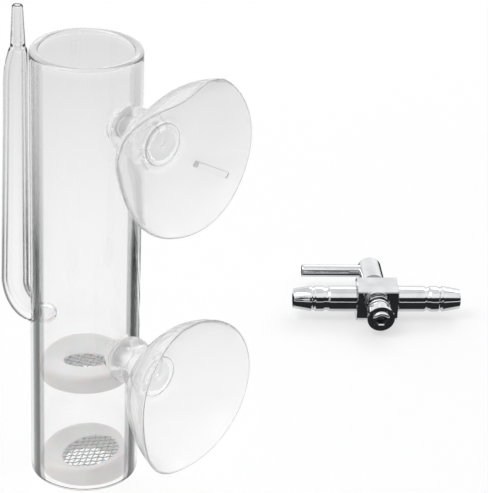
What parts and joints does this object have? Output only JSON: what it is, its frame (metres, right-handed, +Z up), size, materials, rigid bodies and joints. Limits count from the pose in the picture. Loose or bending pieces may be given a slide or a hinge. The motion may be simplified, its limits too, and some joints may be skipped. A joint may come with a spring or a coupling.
{
  "type": "aquarium gas diffuser tube set",
  "caption": "Upright glass gas diffuser tube with a side inlet arm, silicone-held mesh floors, suction cups on pegs, and a separate chromed lever valve.",
  "frame": {"origin": "middle of the set's footprint, on the surface that the tube and the valve stand on", "axes": "+Z up along the tube, +X the way the suction cups face, +Y from the tube towards the valve"},
  "size_m": [0.0653, 0.1427, 0.1156],
  "materials": {
    "glass": "clear, fire-polished",
    "silicone": "matte, translucent",
    "steel_wire": "woven wire",
    "clear_pvc": "clear, glossy, soft",
    "chromed_brass": "polished chrome plate",
    "spring_steel": "bright wire"
  },
  "bodies": {
    "diffuser_set": {"main_tube": "glass", "gas_arm": "glass", "inlet_nozzle": "glass", "upper_glass_peg": "glass", "lower_glass_peg": "glass", "upper_silicone_ring": "silicone", "lower_silicone_ring": "silicone", "upper_wire_mesh": "steel_wire", "lower_wire_mesh": "steel_wire", "valve_block": "chromed_brass", "left_hose_tail": "chromed_brass", "right_hose_tail": "chromed_brass", "thrust_washer": "chromed_brass"},
    "upper_cup": {"upper_suction_cup": "clear_pvc"},
    "lower_cup": {"lower_suction_cup": "clear_pvc"},
    "valve_key": {"valve_plug": "chromed_brass", "valve_lever": "chromed_brass", "plug_spring": "spring_steel", "retaining_cap": "chromed_brass", "cap_screw": "chromed_brass"}
  },
  "joints": [
    {"name": "upper_cup_swivel", "type": "hinge", "parent": "diffuser_set", "child": "upper_cup", "pos_m": [0.01584, -0.05374, 0.092], "axis": [1, 0, 0], "continuous": true},
    {"name": "lower_cup_swivel", "type": "hinge", "parent": "diffuser_set", "child": "lower_cup", "pos_m": [0.01584, -0.05374, 0.0352], "axis": [1, 0, 0], "continuous": true},
    {"name": "valve_turn", "type": "hinge", "parent": "diffuser_set", "child": "valve_key", "pos_m": [-0.00717, 0.05229, 0.00525], "axis": [-0.766, 0.6428, 0], "range_deg": [0, 90]}
  ]
}
